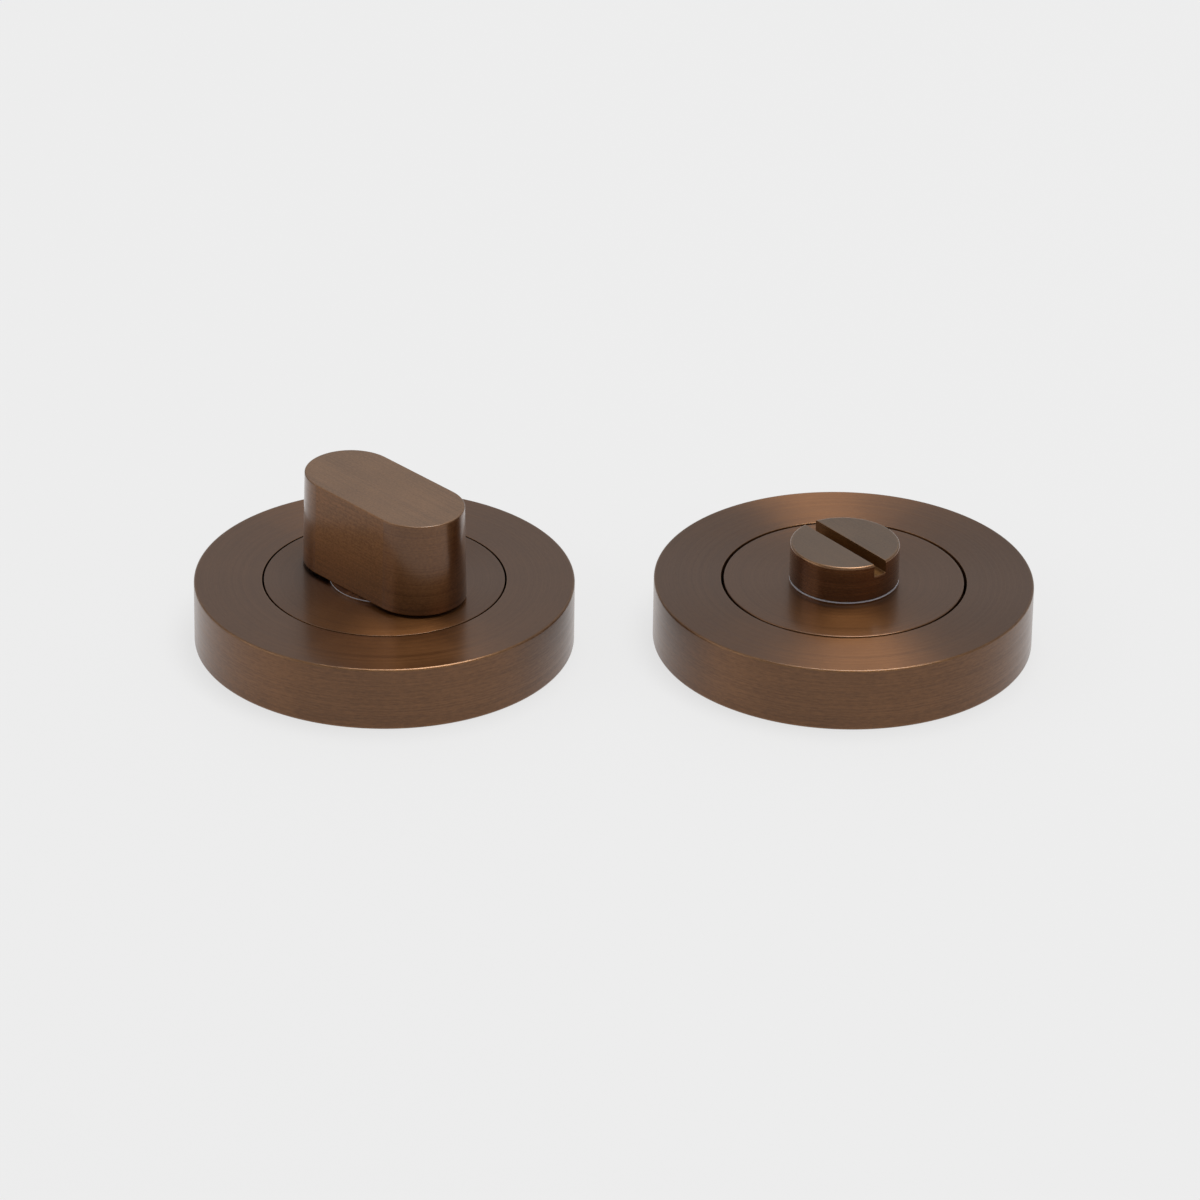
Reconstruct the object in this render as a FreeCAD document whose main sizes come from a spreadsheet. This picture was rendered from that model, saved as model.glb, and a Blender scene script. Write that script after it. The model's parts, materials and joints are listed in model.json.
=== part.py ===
import FreeCAD, Part
import math
import os

import Sketcher
from FreeCAD import Placement, Rotation, Vector

# Bathroom thumb turn lock: the thumb turn half for the inside of the door and the slotted
# emergency release half for the outside, lying side by side on their backs.
# Each half is a turned base rose with a raised boss, a cover ring screwed over it, a nylon
# flanged bush in the boss, and a turned stem held from behind by a curved spring washer, a
# thrust washer and a circlip.
# Origin on the door face, midway between the two axes, +Z away from the door, +X from the
# thumb turn to the release. Millimetres.

# Sizes: name, value, what it is
SIZES = (
    ("PairSpacing", 62.8, "between the axes of the two halves as they lie"),
    ("TurnAngle", 132.1, "rest direction of the grip, degrees from +X"),
    ("ReleaseAngle", 127.0, "rest direction of the coin slot, degrees from +X"),
    ("RoseRadius", 26.0, "outside of the cover ring"),
    ("RoseHeight", 9.1, "door face to the top of the rose"),
    ("RingWidth", 9.55, "flat top of the rose outside its boss, the round gap included"),
    ("CoverWall", 1.4, "side wall of the cover ring"),
    ("CoverTop", 2.0, "top wall of the cover ring"),
    ("CoverEdge", 0.25, "broken outer top edge of the cover"),
    ("CoverFoot", 0.3, "chamfer of the cover's outer bottom edge"),
    ("CoverLeadIn", 0.4, "chamfer at the mouth of the cover's thread"),
    ("LipEdge", 0.15, "small bevel on both sides of the round gap"),
    ("TurnGap", 0.25, "gap round the boss of the thumb turn half"),
    ("ReleaseGap", 0.38, "gap round the boss of the release half"),
    ("ThreadClearance", 0.05, "between the base's flange and the cover's thread"),
    ("FlangeThickness", 3.5, "flange of the base that screws to the door"),
    ("FlangeEdge", 0.4, "chamfer where the flange's thread starts"),
    ("LandHeight", 0.2, "raised land on the boss, which carries the bush's flange"),
    ("BoltHoleRadius", 2.15, "clearance hole for an M4 bolt"),
    ("BoltHeadRadius", 3.7, "countersink of the bolt holes"),
    ("ScrewHoleRadius", 1.9, "clearance hole for a wood screw"),
    ("ScrewHeadRadius", 3.5, "countersink of the wood screw holes"),
    ("TapHoleRadius", 1.65, "tapping hole for M4"),
    ("CountersinkAngle", 90.0, "included angle, degrees"),
    ("StemRadius", 5.0, "stem of the turn and of the release"),
    ("StemSetback", 0.4, "door face to the end of the stem"),
    ("StemEdge", 0.3, "chamfer at the end of the stem"),
    ("StemClearance", 0.05, "running clearance of the stem in the bush"),
    ("BushWall", 0.93, "wall of the bush's sleeve"),
    ("BushFit", 0.02, "between the bush's sleeve and its bore"),
    ("BushFlange", 0.15, "thickness of the bush's flange"),
    ("BushLip", 0.05, "the flange's edge outside the land below it and the knob above it"),
    ("BushShort", 0.2, "sleeve end back from the counterbore"),
    ("CollarHeight", 0.1, "round collar that lifts the grip off the bush"),
    ("GripLength", 26.9, "grip from end to end, at its foot"),
    ("GripWidth", 13.2, "grip across its flats, at its foot"),
    ("GripHeight", 13.4, "grip from its underside to its top"),
    ("GripDraft", 1.2, "taper of the grip's sides towards its top, degrees"),
    ("GripEdge", 0.15, "broken top edge of the grip"),
    ("KnobRadius", 7.5, "round knob of the release, the turn's collar and the boss's land"),
    ("KnobHeight", 5.34, "knob above the bush's flange"),
    ("KnobEdge", 0.25, "broken top edge of the knob"),
    ("KnobFoot", 0.15, "chamfer at the knob's foot"),
    ("SlotWidth", 2.0, "coin slot"),
    ("SlotDepth", 1.8, "coin slot"),
    ("SpindleSize", 5.0, "square spindle that joins the halves, across its flats"),
    ("SpindleClearance", 0.1, "play of the spindle in its socket"),
    ("SocketDepth", 10.0, "square socket from the end of the stem"),
    ("PilotRadius", 2.3, "drilled pilot of the square socket"),
    ("DrillTipAngle", 118.0, "point of the pilot drill, degrees"),
    ("ClipFloor", 1.1, "door face to the underside of the circlip"),
    ("ClipThickness", 1.0, "circlip"),
    ("ClipWidth", 1.8, "ring of the circlip at its widest"),
    ("ClipTaper", 0.3, "offset of the circlip's outside from its bore"),
    ("ClipFit", 0.03, "between the circlip and the bottom of its groove"),
    ("ClipMouth", 2.4, "opening between the circlip's ears"),
    ("EarRadius", 1.35, "rounded ear of the circlip"),
    ("EarOffset", 1.9, "ear centre outside the groove's bottom"),
    ("EarSpread", 2.3, "ear centre to the middle of the mouth"),
    ("EarHoleRadius", 0.6, "pliers hole in each ear"),
    ("GrooveDepth", 0.2, "circlip groove below the stem's surface"),
    ("GroovePlay", 0.1, "groove wider than the circlip"),
    ("WasherWidth", 3.4, "thrust and spring washers outside the stem"),
    ("WasherClearance", 0.2, "washer bores round the stem"),
    ("ThrustThickness", 0.5, "thrust washer"),
    ("SpringHeight", 1.2, "room that the curved spring washer fills"),
    ("SpringThickness", 0.35, "sheet of the spring washer"),
    ("SpringPlay", 0.02, "spring washer to the faces above and below it"),
    ("CounterboreClearance", 0.4, "counterbore outside the washers"),
)

# Coordinates of zero, which the axes of a sketch hold by themselves
ON_AXIS = "0"
DOOR_FACE = "0"

# Sizes that follow from others, as expressions on the sheet
THREAD_RADIUS = "Sizes.RoseRadius - Sizes.CoverWall"
FLANGE_RADIUS = "Sizes.RoseRadius - Sizes.CoverWall - Sizes.ThreadClearance"
BOSS_RADIUS = "Sizes.RoseRadius - Sizes.RingWidth"
FIXING_RADIUS = "(%s + %s) / 2" % (BOSS_RADIUS, FLANGE_RADIUS)
COVER_CEILING = "Sizes.RoseHeight - Sizes.CoverTop"
BUSH_INSIDE = "Sizes.StemRadius + Sizes.StemClearance"
BUSH_OUTSIDE = BUSH_INSIDE + " + Sizes.BushWall"
BUSH_BORE = BUSH_OUTSIDE + " + Sizes.BushFit"
LAND_TOP = "Sizes.RoseHeight + Sizes.LandHeight"
SEAT_HEIGHT = LAND_TOP + " + Sizes.BushFlange"
GRIP_FOOT = SEAT_HEIGHT + " + Sizes.CollarHeight"
KNOB_TOP = SEAT_HEIGHT + " + Sizes.KnobHeight"
SOCKET_TOP = "Sizes.StemSetback + Sizes.SocketDepth"
GROOVE_RADIUS = "Sizes.StemRadius - Sizes.GrooveDepth"
GROOVE_TOP = "Sizes.ClipFloor + Sizes.ClipThickness + Sizes.GroovePlay"
CLIP_BORE = GROOVE_RADIUS + " + Sizes.ClipFit"
CLIP_TOP = "Sizes.ClipFloor + Sizes.ClipThickness"
WASHER_INSIDE = "Sizes.StemRadius + Sizes.WasherClearance"
WASHER_OUTSIDE = "Sizes.StemRadius + Sizes.WasherWidth"
THRUST_TOP = CLIP_TOP + " + Sizes.ThrustThickness"
COUNTERBORE_TOP = THRUST_TOP + " + Sizes.SpringHeight"
COUNTERBORE_RADIUS = WASHER_OUTSIDE + " + Sizes.CounterboreClearance"
SPRING_CROWN = COUNTERBORE_TOP + " - Sizes.SpringPlay"
SPRING_SAG = "(Sizes.SpringHeight - 2 * Sizes.SpringPlay - Sizes.SpringThickness)"
SPRING_BEND = "((%s)^2 + %s^2) / (2 * %s)" % (WASHER_OUTSIDE, SPRING_SAG, SPRING_SAG)

LEVEL_TOLERANCE = 1e-5

doc = FreeCAD.newDocument("ThumbTurnLock")
sheet = doc.addObject("Spreadsheet::Sheet", "Sizes")
for row, (alias, number, meaning) in enumerate(SIZES, start=1):
    sheet.set("A%d" % row, alias)
    sheet.set("B%d" % row, str(number))
    sheet.set("C%d" % row, meaning)
    sheet.setAlias("B%d" % row, alias)
doc.recompute()


def value(expression):
    """The number that an expression on the sheet gives."""
    return float(sheet.evalExpression(expression))


# Sketches and features

def new_body(label):
    body = doc.addObject("PartDesign::Body", label)
    body.Label = label
    return body


def place(feature, side, angle=None):
    """Stand a sub-part on its half's axis: side is -1 for the thumb turn, 1 for the release."""
    feature.Placement = Placement(Vector(0, 0, 0), Rotation(Vector(0, 0, 1), 0))
    feature.setExpression("Placement.Base.x", "%d * Sizes.PairSpacing / 2" % side)
    if angle:
        feature.setExpression("Placement.Rotation.Angle", angle + " * 1 deg")


def new_sketch(body, name, role, height=None):
    """A sketch on one of the body's origin planes, raised by an expression where one is given."""
    sketch = body.newObject("Sketcher::SketchObject", name)
    plane = [item for item in body.Origin.OriginFeatures if item.Role == role][0]
    sketch.AttachmentSupport = [(plane, "")]
    sketch.MapMode = "FlatFace"
    if height:
        sketch.setExpression("AttachmentOffset.Base.z", height)
    return sketch


def dimension(sketch, kind, geometry, vertex, expression):
    """Tie one coordinate of a point to an expression, from the sketch's origin."""
    size = value(expression)
    if size >= 0:
        rule = Sketcher.Constraint(kind, -1, 1, geometry, vertex, size)
        index = sketch.addConstraint(rule)
        sketch.setExpression("Constraints[%d]" % index, expression)
    else:
        rule = Sketcher.Constraint(kind, geometry, vertex, -1, 1, -size)
        index = sketch.addConstraint(rule)
        sketch.setExpression("Constraints[%d]" % index, "-(%s)" % expression)


def locate(sketch, geometry, vertex, across, up):
    """Tie a point to the origin, with zero held by the axes themselves."""
    if across == ON_AXIS:
        sketch.addConstraint(Sketcher.Constraint("PointOnObject", geometry, vertex, -2))
    else:
        dimension(sketch, "DistanceX", geometry, vertex, across)
    if up == DOOR_FACE:
        sketch.addConstraint(Sketcher.Constraint("PointOnObject", geometry, vertex, -1))
    else:
        dimension(sketch, "DistanceY", geometry, vertex, up)


def outline(body, name, corners):
    """Closed section in the XZ plane through corners given as (radius, height) expressions."""
    sketch = new_sketch(body, name, "XZ_Plane")
    points = [Vector(value(radius), value(height), 0) for radius, height in corners]
    count = len(corners)
    for index in range(count):
        line = Part.LineSegment(points[index], points[(index + 1) % count])
        sketch.addGeometry(line, False)
    for index in range(count):
        rule = Sketcher.Constraint("Coincident", index, 2, (index + 1) % count, 1)
        sketch.addConstraint(rule)
    for index, (radius, height) in enumerate(corners):
        locate(sketch, index, 1, radius, height)
    return sketch


def revolve(body, name, corners, kind="PartDesign::Revolution"):
    """Turn a section about the body's own Z axis; kind may also be a groove."""
    sketch = outline(body, name + "Section", corners)
    feature = body.newObject(kind, name)
    feature.Profile = sketch
    feature.ReferenceAxis = (sketch, ["V_Axis"])
    feature.Angle = 360.0
    return feature


def circles(body, name, height, rings):
    """Sketch of circles at a height, each given as (across, up, radius) expressions."""
    sketch = new_sketch(body, name, "XY_Plane", height)
    for index, (across, up, radius) in enumerate(rings):
        centre = Vector(value(across), value(up), 0)
        sketch.addGeometry(Part.Circle(centre, Vector(0, 0, 1), value(radius)), False)
        locate(sketch, index, 3, across, up)
        rule = Sketcher.Constraint("Radius", index, value(radius))
        sketch.setExpression("Constraints[%d]" % sketch.addConstraint(rule), radius)
    return sketch


def rectangle(body, name, height, near, far, half_width):
    """Sketch of a rectangle at a height, from near to far along X and even about the X axis."""
    sketch = new_sketch(body, name, "XY_Plane", height)
    other_half = "-(%s)" % half_width
    corners = ((near, other_half), (far, other_half), (far, half_width), (near, half_width))
    points = [Vector(value(along), value(out), 0) for along, out in corners]
    for index in range(4):
        line = Part.LineSegment(points[index], points[(index + 1) % 4])
        sketch.addGeometry(line, False)
    for index in range(4):
        rule = Sketcher.Constraint("Coincident", index, 2, (index + 1) % 4, 1)
        sketch.addConstraint(rule)
        locate(sketch, index, 1, *corners[index])
    return sketch


def extrude(body, name, kind, sketch, length, upwards=True):
    """Pad or pocket a sketch; a pocket that goes upwards is a reversed one."""
    feature = body.newObject(kind, name)
    feature.Profile = sketch
    feature.setExpression("Length", length)
    pockets = kind == "PartDesign::Pocket"
    feature.Reversed = upwards == pockets
    return feature


def break_rim(body, name, height, size):
    """Chamfer every edge that lies level at a height."""
    doc.recompute()
    base = body.Tip
    level = value(height)
    names = []
    for number, edge in enumerate(base.Shape.Edges, start=1):
        box = edge.BoundBox
        if max(abs(box.ZMin - level), abs(box.ZMax - level)) < LEVEL_TOLERANCE:
            names.append("Edge%d" % number)
    chamfer = body.newObject("PartDesign::Chamfer", name)
    chamfer.Base = (base, names)
    chamfer.setExpression("Size", size)


# Cover ring: a turned cup with a bore in its top, threaded inside its rim

def cover_ring(label, side, gap):
    bore = BOSS_RADIUS + " + " + gap
    body = new_body(label)
    revolve(body, "Ring", [
        ("Sizes.RoseRadius - Sizes.CoverFoot", DOOR_FACE),
        ("Sizes.RoseRadius", "Sizes.CoverFoot"),
        ("Sizes.RoseRadius", "Sizes.RoseHeight - Sizes.CoverEdge"),
        ("Sizes.RoseRadius - Sizes.CoverEdge", "Sizes.RoseHeight"),
        (bore + " + Sizes.LipEdge", "Sizes.RoseHeight"),
        (bore, "Sizes.RoseHeight - Sizes.LipEdge"),
        (bore, COVER_CEILING),
        (THREAD_RADIUS, COVER_CEILING),
        (THREAD_RADIUS, "Sizes.CoverLeadIn"),
        (THREAD_RADIUS + " + Sizes.CoverLeadIn", DOOR_FACE),
    ])
    place(body, side)


# Base rose: a turned disc with a boss, drilled for its fixings and counterbored behind

def drill(body, name, centres, radius, head=None):
    """Holes through the flange from its top face, countersunk where a head is given."""
    rings = [(across, up, radius) for across, up in centres]
    sketch = circles(body, name + "Centres", "Sizes.FlangeThickness", rings)
    doc.recompute()
    hole = body.newObject("PartDesign::Hole", name)
    hole.Profile = sketch
    doc.recompute()
    hole.ThreadType = "None"
    hole.DepthType = "ThroughAll"
    hole.setExpression("Diameter", "2 * " + radius)
    if head:
        hole.HoleCutType = "Countersink"
        hole.setExpression("HoleCutDiameter", "2 * " + head)
        hole.setExpression("HoleCutCountersinkAngle", "Sizes.CountersinkAngle * 1 deg")


def base_rose(label, side, bolt_hole, bolt_head):
    body = new_body(label)
    revolve(body, "Disc", [
        (COUNTERBORE_RADIUS, DOOR_FACE),
        (FLANGE_RADIUS, DOOR_FACE),
        (FLANGE_RADIUS, "Sizes.FlangeThickness - Sizes.FlangeEdge"),
        (FLANGE_RADIUS + " - Sizes.FlangeEdge", "Sizes.FlangeThickness"),
        (BOSS_RADIUS, "Sizes.FlangeThickness"),
        (BOSS_RADIUS, "Sizes.RoseHeight - Sizes.LipEdge"),
        (BOSS_RADIUS + " - Sizes.LipEdge", "Sizes.RoseHeight"),
        ("Sizes.KnobRadius", "Sizes.RoseHeight"),
        ("Sizes.KnobRadius", LAND_TOP),
        (BUSH_BORE, LAND_TOP),
        (BUSH_BORE, COUNTERBORE_TOP),
        (COUNTERBORE_RADIUS, COUNTERBORE_TOP),
    ])
    opposite = "-(%s)" % FIXING_RADIUS
    bolts = ((FIXING_RADIUS, ON_AXIS), (opposite, ON_AXIS))
    screws = ((ON_AXIS, FIXING_RADIUS), (ON_AXIS, opposite))
    drill(body, "BoltHoles", bolts, bolt_hole, bolt_head)
    drill(body, "ScrewHoles", screws, "Sizes.ScrewHoleRadius", "Sizes.ScrewHeadRadius")
    place(body, side)


# Bush: a nylon sleeve in the boss, whose flange carries the turn

def bush(label, side):
    body = new_body(label)
    sleeve_end = COUNTERBORE_TOP + " + Sizes.BushShort"
    revolve(body, "Sleeve", [
        (BUSH_INSIDE, sleeve_end),
        (BUSH_OUTSIDE, sleeve_end),
        (BUSH_OUTSIDE, LAND_TOP),
        ("Sizes.KnobRadius + Sizes.BushLip", LAND_TOP),
        ("Sizes.KnobRadius + Sizes.BushLip", SEAT_HEIGHT),
        (BUSH_INSIDE, SEAT_HEIGHT),
    ])
    place(body, side)


# Stem: the turned shank of both the turn and the release, with its circlip groove

STEM_SECTION = [
    (ON_AXIS, "Sizes.StemSetback"),
    ("Sizes.StemRadius - Sizes.StemEdge", "Sizes.StemSetback"),
    ("Sizes.StemRadius", "Sizes.StemSetback + Sizes.StemEdge"),
    ("Sizes.StemRadius", "Sizes.ClipFloor"),
    (GROOVE_RADIUS, "Sizes.ClipFloor"),
    (GROOVE_RADIUS, GROOVE_TOP),
    ("Sizes.StemRadius", GROOVE_TOP),
    ("Sizes.StemRadius", SEAT_HEIGHT),
]


def spindle_socket(body):
    """Blind square socket in the end of the stem, broached over a drilled pilot."""
    tip = SOCKET_TOP + " + Sizes.PilotRadius / tan(Sizes.DrillTipAngle / 2 * 1 deg)"
    revolve(body, "Pilot", [
        (ON_AXIS, "Sizes.StemSetback"),
        ("Sizes.PilotRadius", "Sizes.StemSetback"),
        ("Sizes.PilotRadius", SOCKET_TOP),
        (ON_AXIS, tip),
    ], "PartDesign::Groove")
    half_flats = "(Sizes.SpindleSize + Sizes.SpindleClearance) / 2"
    other_half = "-(%s)" % half_flats
    square = rectangle(body, "Square", "Sizes.StemSetback", other_half, half_flats, half_flats)
    extrude(body, "Socket", "PartDesign::Pocket", square, "Sizes.SocketDepth")


# Thumb turn: a flat sided grip with round ends and a little draft, on its collar and stem

def grip_sketch(body):
    """Round ended outline of the grip, lying along the body's X axis."""
    sketch = new_sketch(body, "GripOutline", "XY_Plane", GRIP_FOOT)
    radius = value("Sizes.GripWidth / 2")
    centre = value("(Sizes.GripLength - Sizes.GripWidth) / 2")
    quarter = math.pi / 2
    right = Part.Circle(Vector(centre, 0, 0), Vector(0, 0, 1), radius)
    left = Part.Circle(Vector(-centre, 0, 0), Vector(0, 0, 1), radius)
    sketch.addGeometry(Part.ArcOfCircle(right, -quarter, quarter), False)
    sketch.addGeometry(Part.LineSegment(Vector(centre, radius, 0), Vector(-centre, radius, 0)), False)
    sketch.addGeometry(Part.ArcOfCircle(left, quarter, 3 * quarter), False)
    sketch.addGeometry(Part.LineSegment(Vector(-centre, -radius, 0), Vector(centre, -radius, 0)), False)
    for first, second in ((0, 1), (1, 2), (2, 3), (3, 0)):
        sketch.addConstraint(Sketcher.Constraint("Tangent", first, 2, second, 1))
    sketch.addConstraint(Sketcher.Constraint("Horizontal", 1))
    sketch.addConstraint(Sketcher.Constraint("PointOnObject", 0, 3, -1))
    sketch.addConstraint(Sketcher.Constraint("Symmetric", 0, 3, 2, 3, -1, 1))
    width = Sketcher.Constraint("Radius", 0, radius)
    sketch.setExpression("Constraints[%d]" % sketch.addConstraint(width), "Sizes.GripWidth / 2")
    reach = Sketcher.Constraint("DistanceX", -1, 1, 0, 3, centre)
    half = "(Sizes.GripLength - Sizes.GripWidth) / 2"
    sketch.setExpression("Constraints[%d]" % sketch.addConstraint(reach), half)
    return sketch


def thumb_turn(label, side):
    body = new_body(label)
    revolve(body, "StemAndCollar", STEM_SECTION + [
        ("Sizes.KnobRadius", SEAT_HEIGHT),
        ("Sizes.KnobRadius", GRIP_FOOT),
        (ON_AXIS, GRIP_FOOT),
    ])
    grip = extrude(body, "Grip", "PartDesign::Pad", grip_sketch(body), "Sizes.GripHeight")
    grip.setExpression("TaperAngle", "-Sizes.GripDraft * 1 deg")
    break_rim(body, "TopEdge", GRIP_FOOT + " + Sizes.GripHeight", "Sizes.GripEdge")
    spindle_socket(body)
    place(body, side, angle="Sizes.TurnAngle")


# Release: a round knob with a coin slot right across its top

def release_knob(label, side):
    body = new_body(label)
    revolve(body, "StemAndKnob", STEM_SECTION + [
        ("Sizes.KnobRadius - Sizes.KnobFoot", SEAT_HEIGHT),
        ("Sizes.KnobRadius", SEAT_HEIGHT + " + Sizes.KnobFoot"),
        ("Sizes.KnobRadius", KNOB_TOP + " - Sizes.KnobEdge"),
        ("Sizes.KnobRadius - Sizes.KnobEdge", KNOB_TOP),
        (ON_AXIS, KNOB_TOP),
    ])
    past_rim = "Sizes.KnobRadius + Sizes.KnobEdge"
    slot = rectangle(body, "SlotOutline", KNOB_TOP, "-(%s)" % past_rim, past_rim,
                     "Sizes.SlotWidth / 2")
    extrude(body, "CoinSlot", "PartDesign::Pocket", slot, "Sizes.SlotDepth", upwards=False)
    spindle_socket(body)
    place(body, side, angle="Sizes.ReleaseAngle")


# Washers and circlip behind the boss

def thrust_washer(label, side):
    body = new_body(label)
    rings = ((ON_AXIS, ON_AXIS, WASHER_OUTSIDE), (ON_AXIS, ON_AXIS, WASHER_INSIDE))
    annulus = circles(body, "Annulus", CLIP_TOP, rings)
    extrude(body, "Washer", "PartDesign::Pad", annulus, "Sizes.ThrustThickness")
    place(body, side)


def cylinder(label, radius, length, base=None):
    """A plain cylinder on the Z axis from a height up, its sizes tied to the sheet."""
    feature = doc.addObject("Part::Cylinder", label)
    feature.setExpression("Radius", radius)
    feature.setExpression("Height", length)
    if base:
        feature.setExpression("Placement.Base.z", base)
    return feature


def lying_cylinder(label, radius):
    """A cylinder along Y, as long as the washer is wide, whose top carries the bend."""
    length = "2 * (%s)" % WASHER_OUTSIDE
    feature = cylinder(label, radius, length)
    feature.Placement = Placement(Vector(0, 0, 0), Rotation(Vector(1, 0, 0), -90))
    feature.setExpression("Placement.Base.y", "-(%s)" % WASHER_OUTSIDE)
    axis_height = "%s - Sizes.SpringThickness - (%s)" % (SPRING_CROWN, SPRING_BEND)
    feature.setExpression("Placement.Base.z", axis_height)
    return feature


def boolean(kind, label, base, tool):
    feature = doc.addObject(kind, label)
    feature.Label = label
    feature.Base = base
    feature.Tool = tool
    return feature


def spring_washer(label, side, angle):
    """A flat ring bent about one line: its crown lifts the base, its two ends press the
    thrust washer."""
    sheet_back = lying_cylinder(label + "_back", "%s + Sizes.SpringThickness" % SPRING_BEND)
    sheet_front = lying_cylinder(label + "_front", SPRING_BEND)
    bent_sheet = boolean("Part::Cut", label + "_sheet", sheet_back, sheet_front)
    outside = cylinder(label + "_outside", WASHER_OUTSIDE, "Sizes.SpringHeight", THRUST_TOP)
    inside = cylinder(label + "_inside", WASHER_INSIDE, "Sizes.SpringHeight", THRUST_TOP)
    ring = boolean("Part::Cut", label + "_ring", outside, inside)
    washer = boolean("Part::Common", label, bent_sheet, ring)
    place(washer, side, angle=angle)


def circlip(label, side, angle):
    """External circlip: tapered ring with two eared ends, sprung into the stem's groove."""
    body = new_body(label)
    floor = "Sizes.ClipFloor"
    outside = GROOVE_RADIUS + " + Sizes.ClipWidth - Sizes.ClipTaper"
    blank = circles(body, "RingOutline", floor, [("-Sizes.ClipTaper", ON_AXIS, outside)])
    extrude(body, "Ring", "PartDesign::Pad", blank, "Sizes.ClipThickness")
    reach = GROOVE_RADIUS + " + Sizes.EarOffset"
    for name, up in (("First", "Sizes.EarSpread"), ("Second", "-Sizes.EarSpread")):
        ear = circles(body, name + "EarOutline", floor, [(reach, up, "Sizes.EarRadius")])
        extrude(body, name + "Ear", "PartDesign::Pad", ear, "Sizes.ClipThickness")
    bore = circles(body, "BoreOutline", floor, [(ON_AXIS, ON_AXIS, CLIP_BORE)])
    extrude(body, "Bore", "PartDesign::Pocket", bore, "Sizes.ClipThickness")
    past_ears = reach + " + Sizes.EarRadius"
    mouth = rectangle(body, "MouthOutline", floor, ON_AXIS, past_ears, "Sizes.ClipMouth / 2")
    extrude(body, "Mouth", "PartDesign::Pocket", mouth, "Sizes.ClipThickness")
    holes = circles(body, "PliersHoleCentres", floor, [
        (reach, "Sizes.EarSpread", "Sizes.EarHoleRadius"),
        (reach, "-Sizes.EarSpread", "Sizes.EarHoleRadius"),
    ])
    extrude(body, "PliersHoles", "PartDesign::Pocket", holes, "Sizes.ClipThickness")
    place(body, side, angle=angle)


# The two halves, each with its side, its gap, its bolt holes and its rest direction

HALVES = (
    ("turn", -1, "Sizes.TurnGap", "Sizes.BoltHoleRadius", "Sizes.BoltHeadRadius",
     "Sizes.TurnAngle"),
    ("release", 1, "Sizes.ReleaseGap", "Sizes.TapHoleRadius", None,
     "Sizes.ReleaseAngle"),
)

for half, side, gap, bolt_hole, bolt_head, angle in HALVES:
    cover_ring(half + "_cover_ring", side, gap)
    base_rose(half + "_base_rose", side, bolt_hole, bolt_head)
    bush(half + "_bush", side)
    spring_washer(half + "_spring_washer", side, angle)
    thrust_washer(half + "_thrust_washer", side)
    circlip(half + "_circlip", side, angle)

thumb_turn("thumb_turn", -1)
release_knob("release_knob", 1)
doc.recompute()


# Check every object, then write each sub-part to its own file

def is_sub_part(item):
    """A body, or the last of a chain of booleans, which nothing else uses."""
    made_last = item.TypeId == "Part::Common" and not item.InList
    return item.TypeId == "PartDesign::Body" or made_last


for item in doc.Objects:
    if "Invalid" in item.State or "Error" in item.State:
        raise RuntimeError("%s failed: %s" % (item.Label, item.State))

sub_parts = [item for item in doc.Objects if is_sub_part(item)]
for item in sub_parts:
    if item.Shape.isNull() or not item.Shape.isValid():
        raise RuntimeError(item.Label + " has no valid shape")

os.makedirs("parts", exist_ok=True)
for item in sub_parts:
    item.Shape.exportStep(os.path.join("parts", item.Label + ".step"))
    print("%-24s %9.2f mm3" % (item.Label, item.Shape.Volume))
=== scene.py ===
import json
import logging
import math
from collections.abc import Callable, Mapping, Sequence
from dataclasses import dataclass, field
from enum import Enum

import bmesh
import bpy
from mathutils import Matrix, Vector


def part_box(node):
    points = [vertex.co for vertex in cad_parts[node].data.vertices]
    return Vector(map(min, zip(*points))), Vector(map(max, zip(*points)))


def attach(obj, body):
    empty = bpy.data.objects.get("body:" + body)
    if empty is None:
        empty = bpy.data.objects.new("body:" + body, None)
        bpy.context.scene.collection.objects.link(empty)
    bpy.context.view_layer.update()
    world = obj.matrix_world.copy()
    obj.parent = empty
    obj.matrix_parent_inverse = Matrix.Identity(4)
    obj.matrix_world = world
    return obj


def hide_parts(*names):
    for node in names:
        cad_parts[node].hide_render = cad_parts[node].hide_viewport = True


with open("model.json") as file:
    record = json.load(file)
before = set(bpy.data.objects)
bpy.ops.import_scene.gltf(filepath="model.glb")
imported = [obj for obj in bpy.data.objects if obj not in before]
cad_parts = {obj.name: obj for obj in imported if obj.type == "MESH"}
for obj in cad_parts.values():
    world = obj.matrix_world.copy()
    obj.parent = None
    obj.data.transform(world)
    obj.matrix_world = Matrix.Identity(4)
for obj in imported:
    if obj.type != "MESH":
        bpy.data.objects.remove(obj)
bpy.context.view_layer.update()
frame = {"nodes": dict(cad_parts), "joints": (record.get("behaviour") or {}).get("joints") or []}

# Bathroom thumb turn lock: the thumb turn half and the emergency release half, side by side
# on their backs. Metres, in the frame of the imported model: Z points away from the door face,
# X from the thumb turn to the release. Each piece is made about its own half's axis, with X
# along the grip or the coin slot, and is then moved to its place.

LOG = logging.getLogger("thumb_turn_lock")

MM = 0.001
FULL_TURN = 2 * math.pi

# Fineness of the meshes, with the width of the short flat beside each rounded corner
TURNED_SEGMENTS = 256
DRILLED_SEGMENTS = 48
GRIP_END_SEGMENTS = 72
ROUNDING_STEPS = 4
SUPPORT = 0.12 * MM
SHARP_ANGLE = math.radians(35)

# Lengths closer than these count as equal, before and after a piece is carved
TINY = 1e-7
NEAR = 0.02 * MM

# The mesh layers that the finishes read, the length of one unit of the UV map, and the relief's depth
BRUSH_UV = "brush_uv"
SCRATCH = "scratch"
RUB_AND_HIGHLIGHT = "wear"
UV_UNIT = 10 * MM
RELIEF = 0.02 * MM

# An edge takes its rubbed colour, partly real rubbing and partly a painted highlight, between these angles of
# its two faces
RUB_AND_HIGHLIGHT_STARTS = math.radians(4)
RUB_AND_HIGHLIGHT_FULL = math.radians(18)


class Carving(Enum):
    """How a tool changes the piece that it meets."""

    JOIN = "UNION"
    CUT = "DIFFERENCE"


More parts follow.
